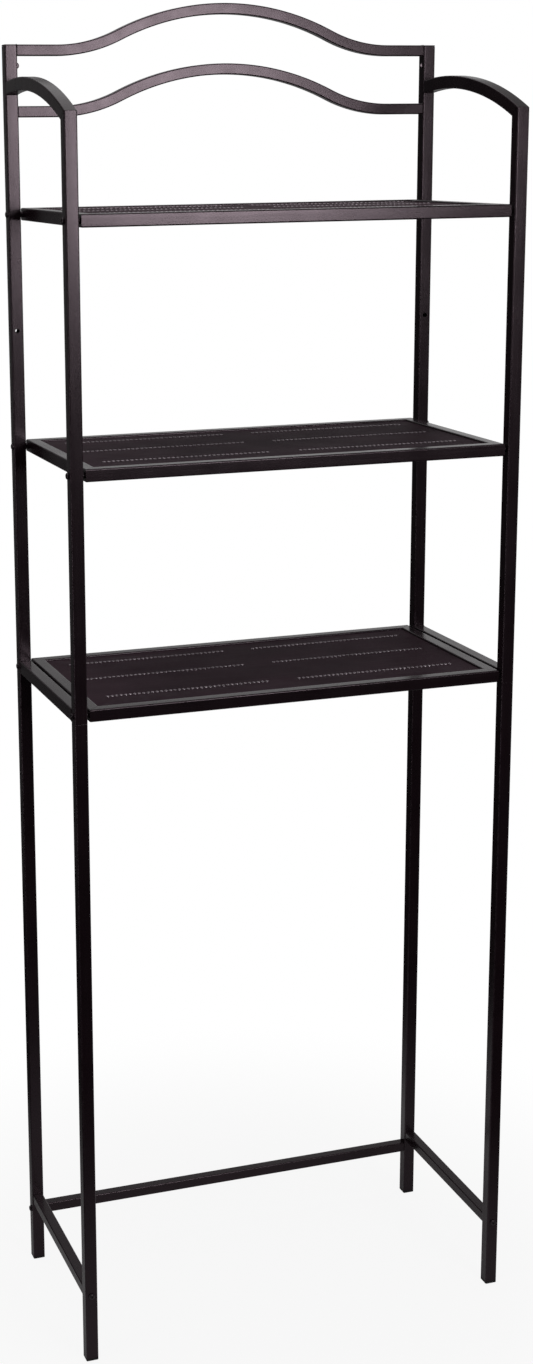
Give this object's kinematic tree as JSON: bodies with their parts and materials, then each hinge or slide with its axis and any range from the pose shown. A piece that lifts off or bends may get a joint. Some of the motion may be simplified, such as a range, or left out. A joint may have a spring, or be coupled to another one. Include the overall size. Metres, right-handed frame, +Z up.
{
  "type": "over-the-toilet storage rack",
  "caption": "Free-standing square-tube steel rack that stands over a toilet, with sheet shelves, arched back rails and arched sides.",
  "frame": {"origin": "on the floor, under the middle of the rack's overall box", "axes": "+X across the rack to its right side as seen from the front looking along +Y, +Y from the front towards the wall, +Z up"},
  "size_m": [0.6056, 0.2906, 1.748],
  "materials": {
    "frame_paint": "satin dark bronze powder coat",
    "panel_paint": "satin dark bronze powder coat",
    "fastener_black": "blackened steel, satin",
    "foot_plastic": "matt black"
  },
  "bodies": {
    "root": {"back_arch_lower": "frame_paint", "back_arch_upper": "frame_paint", "bolt_crossbar_left": "fastener_black", "bolt_crossbar_right": "fastener_black", "bolt_lower_front_left": "fastener_black", "bolt_lower_front_right": "fastener_black", "bolt_lower_rear_left": "fastener_black", "bolt_lower_rear_right": "fastener_black", "bolt_middle_front_left": "fastener_black", "bolt_middle_front_right": "fastener_black", "bolt_middle_rear_left": "fastener_black", "bolt_middle_rear_right": "fastener_black", "bolt_rail_front_left": "fastener_black", "bolt_rail_front_right": "fastener_black", "bolt_rail_rear_left": "fastener_black", "bolt_rail_rear_right": "fastener_black", "bolt_top_front_left": "fastener_black", "bolt_top_front_right": "fastener_black", "bolt_top_rear_left": "fastener_black", "bolt_top_rear_right": "fastener_black", "bottom_side_rail_left": "frame_paint", "bottom_side_rail_right": "frame_paint", "foot_cap_front_left": "foot_plastic", "foot_cap_front_right": "foot_plastic", "foot_cap_rear_left": "foot_plastic", "foot_cap_rear_right": "foot_plastic", "front_leg_left": "frame_paint", "front_leg_right": "frame_paint", "front_post_left": "frame_paint", "front_post_right": "frame_paint", "post_cap_left": "frame_paint", "post_cap_right": "frame_paint", "post_plug_left": "fastener_black", "post_plug_right": "fastener_black", "rear_crossbar": "frame_paint", "rear_leg_left": "frame_paint", "rear_leg_right": "frame_paint", "rear_post_left": "frame_paint", "rear_post_right": "frame_paint", "shelf_lower_front_bar": "frame_paint", "shelf_lower_left_bar": "frame_paint", "shelf_lower_panel": "panel_paint", "shelf_lower_rear_bar": "frame_paint", "shelf_lower_right_bar": "frame_paint", "shelf_middle_front_bar": "frame_paint", "shelf_middle_left_bar": "frame_paint", "shelf_middle_panel": "panel_paint", "shelf_middle_rear_bar": "frame_paint", "shelf_middle_right_bar": "frame_paint", "shelf_top_front_bar": "frame_paint", "shelf_top_left_bar": "frame_paint", "shelf_top_panel": "panel_paint", "shelf_top_rear_bar": "frame_paint", "shelf_top_right_bar": "frame_paint", "side_arch_left": "frame_paint", "side_arch_right": "frame_paint", "upper_side_rail_left": "frame_paint", "upper_side_rail_right": "frame_paint"}
  },
  "joints": []
}
